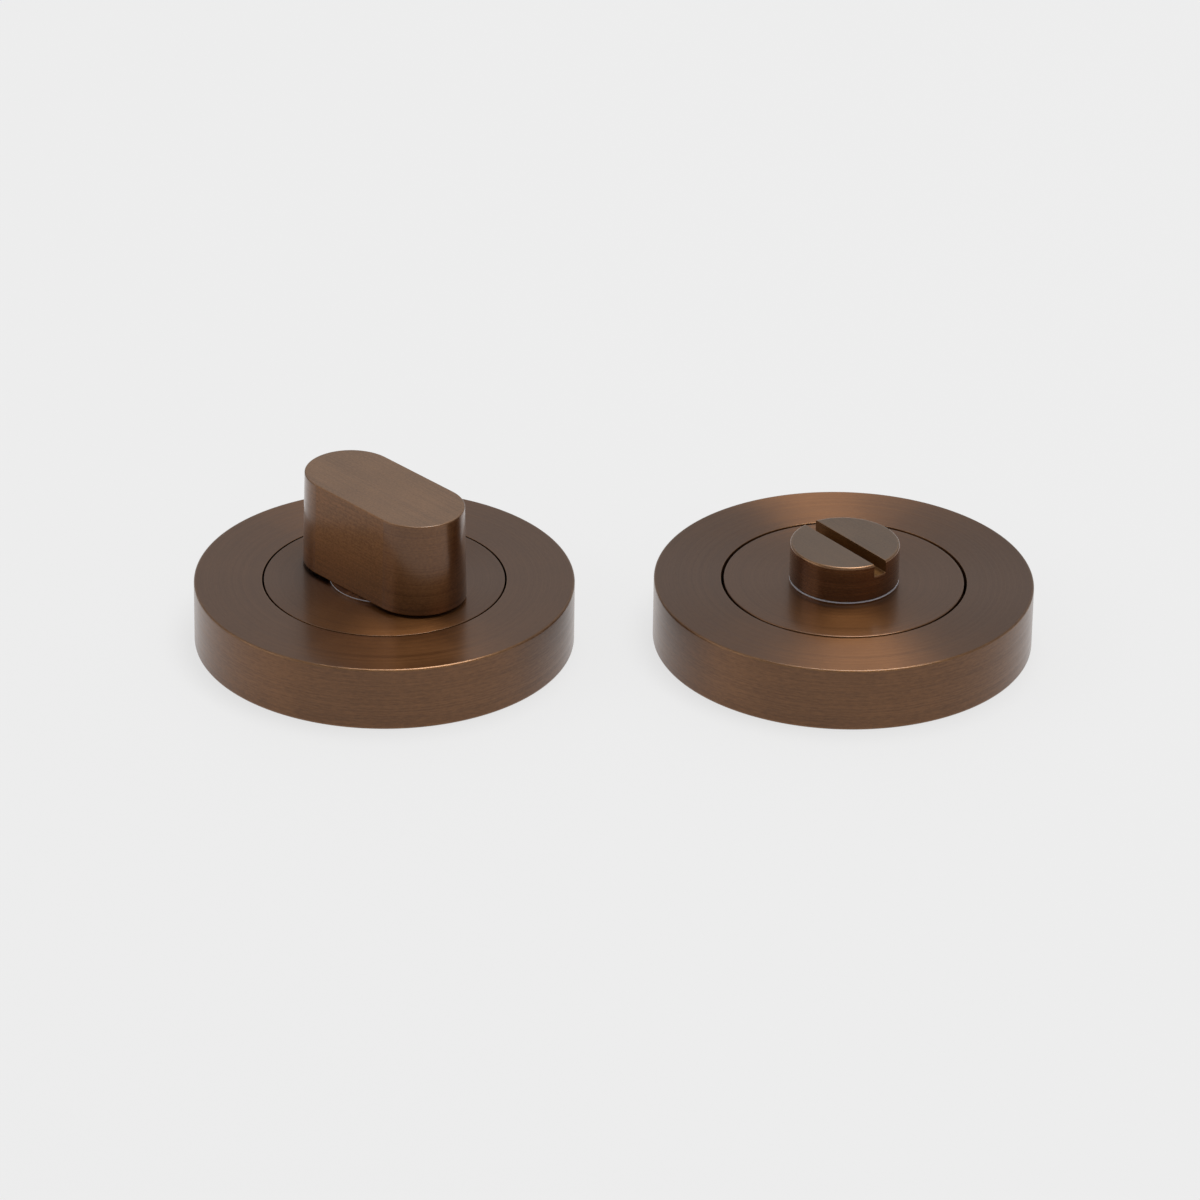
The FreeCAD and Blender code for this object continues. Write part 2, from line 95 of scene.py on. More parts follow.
class Finish(Enum):
    """The finishes of the lock, each with its material's name."""

    TURNED = "turned_bronze"
    FINE_TURNED = "fine_turned_bronze"
    CLOSE_TURNED = "close_turned_bronze"
    WALL = "wall_bronze"
    BRUSHED = "brushed_bronze"
    KNOB = "fine_brushed_bronze"
    SATIN = "satin_bronze"
    FACED = "faced_bronze"
    KNOB_TOP = "dull_faced_bronze"
    MILLED = "milled_bronze"
    NYLON = "natural_nylon"
    STEEL = "tumbled_spring_steel"


@dataclass(frozen=True)
class Corner:
    """One corner of a turned section.

    Attributes:
        radius: distance from the axis.
        height: height above the door face.
        rounding: radius of the arc that breaks the corner, or none.
        rows: how many rows of faces the run to the next corner has.
    """

    radius: float
    height: float
    rounding: float = 0.0
    rows: int = 1


@dataclass(frozen=True)
class Scratch:
    """Where a point lies in the brushing of its face.

    Attributes:
        along: distance along the scratches.
        across: distance across the scratches.
        slow: two coordinates that change only slowly along a scratch and meet without a seam.
    """

    along: float
    across: float
    slow: tuple[float, float]


@dataclass(frozen=True)
class Thread:
    """A fine screw thread cut into a turned wall.

    Attributes:
        low: height where the thread starts.
        high: height where the thread ends.
        pitch: rise of one turn.
        depth: depth of the groove, positive where it is cut away from the axis.
        wall: radius of the wall that is threaded.
        rows: rows of faces over the threaded height.
    """

    low: float
    high: float
    pitch: float
    depth: float
    wall: float
    rows: int

    def groove(self, radius: float, height: float, angle: float) -> float:
        """How far the thread moves a point of the wall away from the axis.

        Args:
            radius: the point's distance from the axis.
            height: the point's height.
            angle: the point's direction about the axis.

        Returns:
            The change of radius, none outside the thread.
        """
        if abs(radius - self.wall) > TINY or not self.low < height < self.high:
            return 0.0
        phase = (height / self.pitch - angle / FULL_TURN) % 1.0
        return self.depth * (1 - abs(2 * phase - 1))


def round_axis(point: Vector, centre: Vector) -> Scratch:
    """Scratches that run in circles about the axis, as a lathe leaves them.

    Args:
        point: a corner of the face.
        centre: the middle of the face.

    Returns:
        The point's place in the scratches.
    """
    middle = math.atan2(centre.y, centre.x)
    radius = math.hypot(point.x, point.y)
    turned = 0.0 if radius < TINY else math.atan2(point.y, point.x) - middle
    angle = middle + math.remainder(turned, FULL_TURN)
    reach = 10 * MM
    slow = (reach * math.cos(angle), reach * math.sin(angle))
    return Scratch(reach * angle, radius - point.z, slow)


def lengthwise(point: Vector, centre: Vector) -> Scratch:
    """Scratches that run along X, as on the tops of the grip and the knob and in the coin slot.

    Args:
        point: a corner of the face.
        centre: the middle of the face, which makes no difference here.

    Returns:
        The point's place in the scratches.
    """
    return Scratch(point.x, point.y - point.z, (point.x, 0.0))


def rounded(before: Vector, here: Vector, after: Vector, radius: float) -> list[Vector]:
    """Points of one corner of a section, with its arc and a short flat at both ends of it.

    Args:
        before: the corner before this one.
        here: the corner.
        after: the corner after this one.
        radius: radius of the arc, or 0 for a sharp corner.

    Returns:
        The points in order.
    """
    if radius == 0:
        return [here]
    back = (before - here).normalized()
    on = (after - here).normalized()
    half_angle = back.angle(on) / 2
    reach = radius / math.tan(half_angle)
    start, end = here + back * reach, here + on * reach
    centre = here + (back + on).normalized() * radius / math.sin(half_angle)
    first, last = start - centre, end - centre
    sweep = first.angle(last)
    arc = [centre + (first * math.sin(sweep * (1 - part)) + last * math.sin(sweep * part)) / math.sin(sweep)
           for part in (step / ROUNDING_STEPS for step in range(ROUNDING_STEPS + 1))]
    return [start + back * SUPPORT, *arc, end + on * SUPPORT]


def section(corners: Sequence[Corner]) -> list[Vector]:
    """Follow a closed turned section.

    Args:
        corners: the corners in order.

    Returns:
        Points as (radius, height), each once.
    """
    spots = [Vector((corner.radius, corner.height)) for corner in corners]
    count = len(corners)
    runs = [rounded(spots[i - 1], spots[i], spots[(i + 1) % count], corners[i].rounding)
            for i in range(count)]
    points: list[Vector] = []
    for index, run in enumerate(runs):
        points += run
        start, end = run[-1], runs[(index + 1) % count][0]
        rows = corners[index].rows
        points += [start.lerp(end, row / rows) for row in range(1, rows)]
    return points


def turned_shape(corners: Sequence[Corner], segments: int = TURNED_SEGMENTS,
                 thread: Thread | None = None) -> bmesh.types.BMesh:
    """Turn a closed section about the Z axis.

    Args:
        corners: the section's corners in order.
        segments: faces round the axis.
        thread: a thread cut into one of the walls, or none.

    Returns:
        The turned shape, closed, with its faces outward.
    """
    shape = bmesh.new()
    rings: list[list[bmesh.types.BMVert]] = []
    for radius, height in section(corners):
        if radius < TINY:
            rings.append([shape.verts.new((0.0, 0.0, height))])
            continue
        ring = []
        for index in range(segments):
            angle = FULL_TURN * index / segments
            reach = radius + (thread.groove(radius, height, angle) if thread else 0.0)
            ring.append(shape.verts.new((reach * math.cos(angle), reach * math.sin(angle), height)))
        rings.append(ring)
    for lower, upper in zip(rings, rings[1:] + rings[:1]):
        if len(lower) == len(upper) == 1:
            continue
        for index in range(segments):
            following = index + 1
            corner_verts = (lower[index % len(lower)], lower[following % len(lower)],
                            upper[following % len(upper)], upper[index % len(upper)])
            shape.faces.new(tuple(dict.fromkeys(corner_verts)))
    bmesh.ops.recalc_face_normals(shape, faces=shape.faces[:])
    return shape


def layered_shape(layers: Sequence[Sequence[Vector]]) -> bmesh.types.BMesh:
    """Skin a stack of outlines that have equal counts of points, and close both ends.

    Args:
        layers: the outlines in order.

    Returns:
        The closed shape, with its faces outward.
    """
    shape = bmesh.new()
    rings = [[shape.verts.new(point) for point in layer] for layer in layers]
    count = len(rings[0])
    for lower, upper in zip(rings, rings[1:]):
        for index in range(count):
            following = (index + 1) % count
            shape.faces.new((lower[index], lower[following], upper[following], upper[index]))
    shape.faces.new(rings[0])
    shape.faces.new(rings[-1])
    bmesh.ops.recalc_face_normals(shape, faces=shape.faces[:])
    return shape


def as_object(name: str, shape: bmesh.types.BMesh) -> bpy.types.Object:
    """Put a shape into the scene.

    Args:
        name: the object's name.
        shape: the shape, which is used up.

    Returns:
        The new object, at the origin.
    """
    mesh = bpy.data.meshes.new(name)
    shape.to_mesh(mesh)
    shape.free()
    piece = bpy.data.objects.new(name, mesh)
    bpy.context.scene.collection.objects.link(piece)
    return piece


def carve(piece: bpy.types.Object, tool: bmesh.types.BMesh, way: Carving) -> None:
    """Join a tool to a piece or cut it away, exactly, and put the tool away.

    Args:
        piece: the piece to change.
        tool: the tool's shape, which is used up.
        way: whether the tool is joined or cut away.
    """
    held = as_object(piece.name + "_tool", tool)
    modifier = piece.modifiers.new("carving", "BOOLEAN")
    modifier.operation = way.value
    modifier.solver = "EXACT"
    modifier.object = held
    settled = piece.evaluated_get(bpy.context.evaluated_depsgraph_get())
    carved = bpy.data.meshes.new_from_object(settled)
    piece.modifiers.clear()
    plain, piece.data = piece.data, carved
    carved.name = piece.name
    bpy.data.meshes.remove(plain)
    spent = held.data
    bpy.data.objects.remove(held)
    bpy.data.meshes.remove(spent)


@dataclass(frozen=True)
class Surface:
    """The finish of one face and how its scratches run.

    Attributes:
        finish: its finish.
        lay: gives a corner's place in the scratches from the corner and the face's middle.
    """

    finish: Finish
    lay: Callable[[Vector, Vector], Scratch] = round_axis


def lay_surfaces(mesh: bpy.types.Mesh, surface_of: Callable[[Vector, Vector], Surface]) -> None:
    """Give each face its material, and write each corner's place in the brushing to the mesh.

    Args:
        mesh: the mesh, still about its own axis.
        surface_of: gives the surface of a face from its middle and its normal.
    """
    uv_layer = mesh.uv_layers.new(name=BRUSH_UV)
    scratch_layer = mesh.attributes.new(SCRATCH, "FLOAT_VECTOR", "CORNER")
    mesh.materials.clear()
    flat: list[float] = []
    places: list[float] = []
    used: list[Finish] = []
    for face in mesh.polygons:
        centre = face.center
        surface = surface_of(centre, face.normal)
        if surface.finish not in used:
            used.append(surface.finish)
        face.material_index = used.index(surface.finish)
        lay = surface.lay
        for vertex in face.vertices:
            scratch = lay(mesh.vertices[vertex].co, centre)
            flat += (scratch.along / UV_UNIT, scratch.across / UV_UNIT)
            places += (*scratch.slow, scratch.across)
    uv_layer.uv.foreach_set("vector", flat)
    scratch_layer.data.foreach_set("vector", places)
    for finish in used:
        mesh.materials.append(bpy.data.materials[finish.value])


def mark_rub_and_highlight(mesh: bpy.types.Mesh, most: float = 1.0) -> None:
    """Write to the mesh how far each point stands on a rounded outer edge, which sets its rubbed colour and
    painted highlight.

    Args:
        mesh: the mesh to mark.
        most: the value where an edge is fully rubbed and painted with a highlight, from 0 to 1.
    """
    shape = bmesh.new()
    shape.from_mesh(mesh)
    rub_and_highlight_share = []
    for vertex in shape.verts:
        bends = [edge.calc_face_angle_signed(0.0) for edge in vertex.link_edges]
        soft_bends = [bend for bend in bends if bend < SHARP_ANGLE]
        share = (max(soft_bends, default=0.0) - RUB_AND_HIGHLIGHT_STARTS) / (RUB_AND_HIGHLIGHT_FULL - RUB_AND_HIGHLIGHT_STARTS)
        rub_and_highlight_share.append(most * min(1.0, max(0.0, share)))
    shape.free()
    mesh.attributes.new(RUB_AND_HIGHLIGHT, "FLOAT", "POINT").data.foreach_set("value", rub_and_highlight_share)


class NodeSheet:
    """The node tree of a material or of the world, with short calls for what they share."""

    def __init__(self, owner: bpy.types.Material | bpy.types.World) -> None:
        """Start an empty node tree.

        Args:
            owner: the material or the world that it belongs to.
        """
        self.owner = owner
        owner.use_nodes = True
        self.tree = owner.node_tree
        self.tree.nodes.clear()

    def add(self, kind: str, inputs: Mapping[str | int, object] | None = None,
            **settings: object) -> bpy.types.Node:
        """Add a node.

        Args:
            kind: the node's type.
            inputs: a value, or the socket to link, for each named or numbered input.
            **settings: the node's own properties.

        Returns:
            The new node.
        """
        node = self.tree.nodes.new(kind)
        for name, setting in settings.items():
            setattr(node, name, setting)
        for name, given in (inputs or {}).items():
            if isinstance(given, bpy.types.NodeSocket):
                self.tree.links.new(given, node.inputs[name])
            else:
                node.inputs[name].default_value = given
        return node

    def attribute(self, name: str) -> bpy.types.Node:
        """Read a layer of the mesh."""
        return self.add("ShaderNodeAttribute", attribute_name=name)

    def stretched(self, vector: bpy.types.NodeSocket, scale: Sequence[float]) -> bpy.types.NodeSocket:
        """Multiply a vector by a scale for each of its parts."""
        return self.add("ShaderNodeVectorMath", {0: vector, 1: scale}, operation="MULTIPLY").outputs[0]

    def noise(self, vector: bpy.types.NodeSocket, scale: float, detail: float,
              roughness: float = 0.5) -> bpy.types.NodeSocket:
        """Noise from 0 to 1, about 0.5, with a number of finer layers and how strong they are."""
        inputs = {"Vector": vector, "Scale": scale, "Detail": detail, "Roughness": roughness}
        return self.add("ShaderNodeTexNoise", inputs).outputs[0]

    def ranged(self, factor: bpy.types.NodeSocket, start: float, end: float,
               low: float, high: float) -> bpy.types.NodeSocket:
        """Carry a value from one range to another, held at its ends."""
        inputs = {0: factor, 1: start, 2: end, 3: low, 4: high}
        return self.add("ShaderNodeMapRange", inputs).outputs[0]

    def swing(self, noise: bpy.types.NodeSocket, low: float, high: float) -> bpy.types.NodeSocket:
        """Carry a noise's usual range, 0.3 to 0.7, to another."""
        return self.ranged(noise, 0.3, 0.7, low, high)

    def sum_of(self, first: object, second: object, operation: str = "ADD") -> bpy.types.NodeSocket:
        """Add two values, or join them by another operation."""
        return self.add("ShaderNodeMath", {0: first, 1: second}, operation=operation).outputs[0]

    def mixed(self, factor: object, first: object, second: object) -> bpy.types.NodeSocket:
        """Mix two colours by a factor."""
        inputs = {0: factor, 6: first, 7: second}
        return self.add("ShaderNodeMix", inputs, data_type="RGBA").outputs[2]

    def show(self, shader: bpy.types.Node, output: str = "ShaderNodeOutputMaterial") -> None:
        """Show a shader as the surface, through the output node of a material or of the world."""
        self.add(output, {"Surface": shader.outputs[0]})


Colour = tuple[float, float, float, float]


@dataclass(frozen=True)
class BrushedBronze:
    """Dark bronze, finely brushed and then lacquered.

    Attributes:
        finish: which finish it is.
        deep: colour in the darker patches.
        warm: colour in the redder patches.
        rubbed_and_highlight_colour: colour of the rounded edges, partly metal rubbed through the dark finish
            and partly a painted highlight.
        roughness: of the metal.
        spread: how much more the metal spreads light across its scratches than along them.
        mottle: how strongly its colour changes from spot to spot.
        lacquer: how much of the surface the clear coat covers.
        lacquer_roughness: of the clear coat.
        fine: scratches in a metre across the brushing.
        broad: streaks in a metre across the brushing.
        length: how often a scratch changes in a metre along the brushing.
        patches: cloudy patches in a metre.
        specks: specks in a metre, twice along the brushing and once across it.
    """

    finish: Finish
    deep: Colour = (0.125, 0.050, 0.0150, 1.0)
    warm: Colour = (0.165, 0.070, 0.0240, 1.0)
    rubbed_and_highlight_colour: Colour = (0.34, 0.18, 0.07, 1.0)
    roughness: float = 0.42
    spread: float = 0.9
    mottle: float = 0.28
    lacquer: float = 0.85
    lacquer_roughness: float = 0.2
    fine: float = 6500.0
    broad: float = 1300.0
    length: float = 45.0
    patches: float = 160.0
    specks: tuple[float, float, float] = (2600.0, 2600.0, 4200.0)

    def make(self) -> None:
        """Make the material, which reads the mesh's scratch layer and its layer of edge rubbing and painted
        highlight.
        """
        sheet = NodeSheet(bpy.data.materials.new(self.finish.value))
        place = sheet.attribute(SCRATCH).outputs["Vector"]
        spot = sheet.add("ShaderNodeTexCoord").outputs["Object"]
        fine = sheet.noise(sheet.stretched(place, (self.length, self.length, self.fine)), 1.0, 2.0)
        broad = sheet.noise(sheet.stretched(place, (self.length / 3, self.length / 3, self.broad)), 1.0, 2.0)
        cloud = sheet.noise(spot, self.patches, 3.0)
        speck = sheet.noise(sheet.stretched(place, self.specks), 1.0, 3.0, 0.7)

        tone = sheet.sum_of(sheet.swing(cloud, -0.2, 0.2), sheet.swing(broad, -0.12, 0.12))
        tone = sheet.sum_of(tone, sheet.swing(speck, -self.mottle, self.mottle))
        tone = sheet.sum_of(tone, sheet.swing(fine, 0.2, 0.8))
        metal = sheet.mixed(tone, self.deep, self.warm)
        # Rounded edges are mixed towards a brighter colour: partly real rubbing, partly a painted highlight.
        rub_and_highlight_share = sheet.sum_of(sheet.attribute(RUB_AND_HIGHLIGHT).outputs["Fac"],
                            sheet.ranged(speck, 0.35, 0.65, 0.1, 0.4), "MULTIPLY")
        metal = sheet.mixed(rub_and_highlight_share, metal, self.rubbed_and_highlight_colour)

        rough = sheet.sum_of(sheet.swing(broad, -0.035, 0.035),
                             sheet.swing(cloud, self.roughness - 0.02, self.roughness + 0.02))
        marks = sheet.sum_of(fine, broad)
        bump = sheet.add("ShaderNodeBump", {"Height": marks, "Strength": 0.10, "Distance": RELIEF})
        tangent = sheet.add("ShaderNodeTangent", direction_type="UV_MAP", uv_map=BRUSH_UV)
        sheet.show(sheet.add("ShaderNodeBsdfPrincipled", {
            "Base Color": metal,
            "Metallic": 1.0,
            "Roughness": rough,
            "Anisotropic": self.spread,
            "Anisotropic Rotation": 0.25,
            "Tangent": tangent.outputs[0],
            "Normal": bump.outputs[0],
            "Coat Weight": self.lacquer,
            "Coat Roughness": self.lacquer_roughness,
            "Coat IOR": 1.5,
        }))


@dataclass(frozen=True)
class WhiteNylon:
    """Natural nylon, slightly clear, with faint turning marks.

    Attributes:
        finish: which finish it is.
        colour: of the nylon.
        shaded: colour between the turning marks.
        roughness: of its surface.
    """

    finish: Finish
    colour: Colour = (0.56, 0.54, 0.58, 1.0)
    shaded: Colour = (0.46, 0.44, 0.48, 1.0)
    roughness: float = 0.38

    def make(self) -> None:
        """Make the material, which reads the mesh's scratch layer."""
        sheet = NodeSheet(bpy.data.materials.new(self.finish.value))
        place = sheet.attribute(SCRATCH).outputs["Vector"]
        marks = sheet.noise(sheet.stretched(place, (60.0, 60.0, 5000.0)), 1.0, 2.0)
        cloud = sheet.noise(sheet.add("ShaderNodeTexCoord").outputs["Object"], 250.0, 2.0)
        bump = sheet.add("ShaderNodeBump", {"Height": marks, "Strength": 0.2, "Distance": RELIEF})
        sheet.show(sheet.add("ShaderNodeBsdfPrincipled", {
            "Base Color": sheet.mixed(sheet.swing(marks, 0.0, 1.0), self.shaded, self.colour),
            "Roughness": sheet.swing(cloud, self.roughness - 0.06, self.roughness + 0.06),
            "Subsurface Weight": 0.2,
            "Subsurface Radius": (0.5 * MM, 0.5 * MM, 0.6 * MM),
            "Subsurface Scale": 1.0,
            "Normal": bump.outputs[0],
        }))


@dataclass(frozen=True)
class SpringSteel:
    """Hardened spring steel, tumbled and lightly oiled.

    Attributes:
        finish: which finish it is.
        dark: colour of the duller patches.
        bright: colour of the rubbed patches.
        roughness: of its surface.
    """

    finish: Finish
    dark: Colour = (0.20, 0.21, 0.23, 1.0)
    bright: Colour = (0.48, 0.48, 0.50, 1.0)
    roughness: float = 0.34

    def make(self) -> None:
        """Make the material, which needs no layer of the mesh."""
        sheet = NodeSheet(bpy.data.materials.new(self.finish.value))
        spot = sheet.add("ShaderNodeTexCoord").outputs["Object"]
        cloud = sheet.noise(spot, 600.0, 3.0)
        grain = sheet.noise(spot, 5200.0, 3.0, 0.65)
        bump = sheet.add("ShaderNodeBump", {"Height": grain, "Strength": 0.25, "Distance": RELIEF})
        sheet.show(sheet.add("ShaderNodeBsdfPrincipled", {
            "Base Color": sheet.mixed(sheet.swing(cloud, 0.0, 1.0), self.dark, self.bright),
            "Metallic": 1.0,
            "Roughness": sheet.swing(grain, self.roughness - 0.08, self.roughness + 0.08),
            "Normal": bump.outputs[0],
        }))


DARK: Colour = (0.118, 0.048, 0.0145, 1.0)
GOLDEN: Colour = (0.182, 0.078, 0.0260, 1.0)

# One bronze that is cut and brushed in ten ways, the nylon of the bushes and the steel behind the bosses
FINISHES = (
    BrushedBronze(Finish.TURNED),
    BrushedBronze(Finish.FINE_TURNED, roughness=0.36, spread=0.8),
    BrushedBronze(Finish.CLOSE_TURNED, roughness=0.334, spread=0.685),
    BrushedBronze(Finish.WALL, DARK, GOLDEN, mottle=0.5, lacquer=0.7),
    BrushedBronze(Finish.BRUSHED, DARK, GOLDEN, roughness=0.36, spread=0.8, mottle=0.5),
    BrushedBronze(Finish.KNOB, DARK, GOLDEN, roughness=0.27, spread=0.7, mottle=0.4),
    BrushedBronze(Finish.SATIN, (0.16, 0.069, 0.021, 1.0), (0.255, 0.111, 0.037, 1.0),
                  roughness=0.58, spread=0.1, mottle=0.6, lacquer=0.6),
    BrushedBronze(Finish.FACED, (0.155, 0.082, 0.040, 1.0), (0.235, 0.128, 0.064, 1.0),
                  roughness=0.58, spread=0.1, mottle=0.5, lacquer=1.0),
    BrushedBronze(Finish.KNOB_TOP, (0.100, 0.060, 0.034, 1.0), (0.142, 0.086, 0.050, 1.0),
                  roughness=0.55, spread=0.1, mottle=0.4, lacquer=1.0),
    BrushedBronze(Finish.MILLED, (0.13, 0.063, 0.018, 1.0), (0.20, 0.098, 0.032, 1.0),
                  roughness=0.45, spread=0.3, mottle=0.5, lacquer=0.5),
    WhiteNylon(Finish.NYLON),
    SpringSteel(Finish.STEEL),
)


@dataclass(frozen=True)
class Half:
    """One half of the lock.

    Attributes:
        name: how its nodes start.
        joint: the joint that its turn or release spins on.
        direction: where its grip or coin slot points at rest, in degrees from X.
        gap: width of the round gap between its boss and its cover ring.
        bolt_hole: radius of its two bolt holes.
        bolt_head: radius of their countersinks, or none.
        lip: rounding of the boss's edge at that gap.
        cover_finish: finish of its cover ring's top.
        base_finish: finish of its base.
    """

    name: str
    joint: str
    direction: float
    gap: float
    bolt_hole: float
    bolt_head: float | None
    lip: float
    cover_finish: Finish
    base_finish: Finish

    def place(self, piece: bpy.types.Object, turned: bool = False) -> None:
        """Move a piece's mesh from its own axis to the half's.

        Args:
            piece: the piece, made about Z.
            turned: whether it also points along the half's direction.
        """
        found = next(joint for joint in frame["joints"] if joint["name"] == self.joint)
        across, back, _ = found["pos_m"]
        turn = Matrix.Rotation(math.radians(self.direction), 4, "Z") if turned else Matrix.Identity(4)
        piece.data.transform(Matrix.Translation((across, back, 0.0)) @ turn)


def dress(piece: bpy.types.Object, body: str, node: str) -> None:
    """Smooth a piece and let it stand for its node.

    Args:
        piece: the piece, in its place.
        body: the body that it rides on.
        node: the node that it stands for.
    """
    mesh = piece.data
    mesh.shade_smooth()
    mesh.set_sharp_from_angle(angle=SHARP_ANGLE)
    even = piece.modifiers.new("even_normals", "WEIGHTED_NORMAL")
    even.keep_sharp = True
    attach(piece, body)
    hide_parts(node)
    LOG.info("%s: %d faces, on %s, for %s", piece.name, len(mesh.polygons), body, node)


@dataclass
class Rose:
    """The round rose of one half: a base that screws to the door and the cover ring over it.

    Attributes:
        half: the half that it belongs to.
        ring_width: flat top outside the boss, the round gap included.
        wall: side wall of the cover.
        top: top wall of the cover.
        flange: thickness of the base's flange.
        thread_clearance: between the base's thread and the cover's.
        edge: rounding of the cover's outer top edge.
        foot_edge: rounding of the cover's outer bottom edge.
        cover_lip: rounding of the cover's lip at the round gap.
        land: radius and height of the raised land on the boss, which carries the bush.
        counterbore: radius and height of the recess behind the boss.
        bush_bore: radius of the bore for the bush.
        bush_wall: inner and outer radius of the bush's sleeve.
        bush_end: height where the sleeve ends.
        bush_flange: radius and thickness of the bush's flange.
        bush_edge: rounding of that flange's outer edge.
        screw_hole: radius of the wood screw holes and of their countersinks.
        pitch: pitch of the thread between base and cover.
        thread_depth: depth of that thread.
        thread_rows: rows of faces over that thread.
        boss_rows: rows of faces on the boss's top.
        upright: a face whose normal has less than this of Z counts as part of a wall.
        cover_rub_and_highlight: how far the cover's outer edges are rubbed and painted with a highlight, from
            0 to 1.
        base_rub_and_highlight: how far the base's outer edges are rubbed and painted with a highlight.
    """

    half: Half
    ring_width: float = 9.55 * MM
    wall: float = 1.4 * MM
    top: float = 2.0 * MM
    flange: float = 3.5 * MM
    thread_clearance: float = 0.05 * MM
    edge: float = 0.25 * MM
    foot_edge: float = 0.30 * MM
    cover_lip: float = 0.05 * MM
    land: tuple[float, float] = (7.5 * MM, 0.25 * MM)
    counterbore: tuple[float, float] = (8.8 * MM, 3.8 * MM)
    bush_bore: float = 6.0 * MM
    bush_wall: tuple[float, float] = (5.05 * MM, 5.98 * MM)
    bush_end: float = 4.0 * MM
    bush_flange: tuple[float, float] = (7.5 * MM, 0.1 * MM)
    bush_edge: float = 0.04 * MM
    screw_hole: tuple[float, float] = (1.9 * MM, 3.5 * MM)
    pitch: float = 0.75 * MM
    thread_depth: float = 0.35 * MM
    thread_rows: int = 44
    boss_rows: int = 8
    upright: float = 0.7
    cover_rub_and_highlight: float = 1.0
    base_rub_and_highlight: float = 0.2
    radius: float = field(init=False)
    height: float = field(init=False)

    def __post_init__(self) -> None:
        """Read the rose's radius and height from the frame."""
        low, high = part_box(self.half.name + "_cover_ring")
        self.radius = (high.x - low.x) / 2
        self.height = high.z

    def settle(self, piece: bpy.types.Object, finish: Finish, node: str,
               rub_and_highlight_share: float = 0.0) -> None:
        """Brush, place and dress a shaped piece of the rose.

        Args:
            piece: the piece about its own axis.
            finish: its finish.
            node: how the name of the node that it stands for ends.
            rub_and_highlight_share: how far its outer edges are rubbed and painted with a highlight, from 0
                to 1.
        """
        def surface_of(centre: Vector, normal: Vector) -> Surface:
            """The cover's wall has its own finish."""
            outside = math.hypot(centre.x, centre.y) > self.radius - self.wall / 2
            return Surface(Finish.WALL if outside and abs(normal.z) < self.upright else finish)

        lay_surfaces(piece.data, surface_of)
        mark_rub_and_highlight(piece.data, rub_and_highlight_share)
        self.half.place(piece)
        dress(piece, "roses", self.half.name + node)

    def make_cover(self) -> None:
        """Make the cover ring: a turned cup with a round hole in its top, threaded inside."""
        bore = self.radius - self.ring_width + self.half.gap
        inside = self.radius - self.wall
        ceiling = self.height - self.top
        lead_in = 0.4 * MM
        thread = Thread(lead_in, self.flange, self.pitch, self.thread_depth, inside, self.thread_rows)
        cover = as_object(self.half.name + "_cover", turned_shape([
            Corner(self.radius, 0.0, self.foot_edge),
            Corner(self.radius, self.height, self.edge),
            Corner(bore, self.height, self.cover_lip),
            Corner(bore, ceiling),
            Corner(inside, ceiling),
            Corner(inside, thread.high, rows=thread.rows),
            Corner(inside, thread.low),
            Corner(inside + lead_in, 0.0),
        ], thread=thread))
        self.settle(cover, self.half.cover_finish, "_cover_ring", rub_and_highlight_share=self.cover_rub_and_highlight)

    def drill(self, base: bpy.types.Object, x: float, y: float, hole: float, head: float | None) -> None:
        """Drill one hole through the flange, countersunk where a head is given.

        Args:
            base: the base.
            x: the hole's place along X from the axis.
            y: the hole's place along Y from the axis.
            hole: its radius.
            head: radius of its countersink, or none.
        """
        past = 0.1 * MM
        top = self.flange + past
        mouth = [Corner(hole, top)]
        if head:
            mouth = [Corner(hole, self.flange - head + hole), Corner(head + past, top)]
        drill = turned_shape([Corner(0.0, -past), Corner(hole, -past), *mouth, Corner(0.0, top)],
                             DRILLED_SEGMENTS)
        bmesh.ops.translate(drill, verts=drill.verts[:], vec=(x, y, 0.0))
        carve(base, drill, Carving.CUT)

    def make_base(self) -> None:
        """Make the base: a threaded flange with a boss, drilled for its fixings."""
        boss = self.radius - self.ring_width
        outside = self.radius - self.wall - self.thread_clearance
        thread_edge = 0.4 * MM
        thread = Thread(0.0, self.flange - thread_edge, self.pitch, -self.thread_depth, outside,
                        self.thread_rows)
        recess, recess_top = self.counterbore
        land, rise = self.land
        base = as_object(self.half.name + "_base", turned_shape([
            Corner(recess, 0.0),
            Corner(outside, thread.low, rows=thread.rows),
            Corner(outside, thread.high),
            Corner(outside - thread_edge, self.flange),
            Corner(boss, self.flange),
            Corner(boss, self.height, self.half.lip, self.boss_rows),
            Corner(land, self.height),
            Corner(land, self.height + rise),
            Corner(self.bush_bore, self.height + rise),
            Corner(self.bush_bore, recess_top),
            Corner(recess, recess_top),
        ], thread=thread))
        fixings = (boss + outside) / 2
        for sign in (1, -1):
            self.drill(base, sign * fixings, 0.0, self.half.bolt_hole, self.half.bolt_head)
            self.drill(base, 0.0, sign * fixings, *self.screw_hole)
        self.settle(base, self.half.base_finish, "_base_rose", rub_and_highlight_share=self.base_rub_and_highlight)

    def make_bush(self) -> None:
        """Make the flanged nylon bush that carries the turn or the release."""
        inner, outer = self.bush_wall
        rim, thickness = self.bush_flange
        seat = self.height + self.land[1]
        bush = as_object(self.half.name + "_nylon_bush", turned_shape([
            Corner(inner, self.bush_end),
            Corner(outer, self.bush_end),
            Corner(outer, seat),
            Corner(rim, seat),
            Corner(rim, seat + thickness, self.bush_edge),
            Corner(inner, seat + thickness),
        ]))
        self.settle(bush, Finish.NYLON, "_bush")


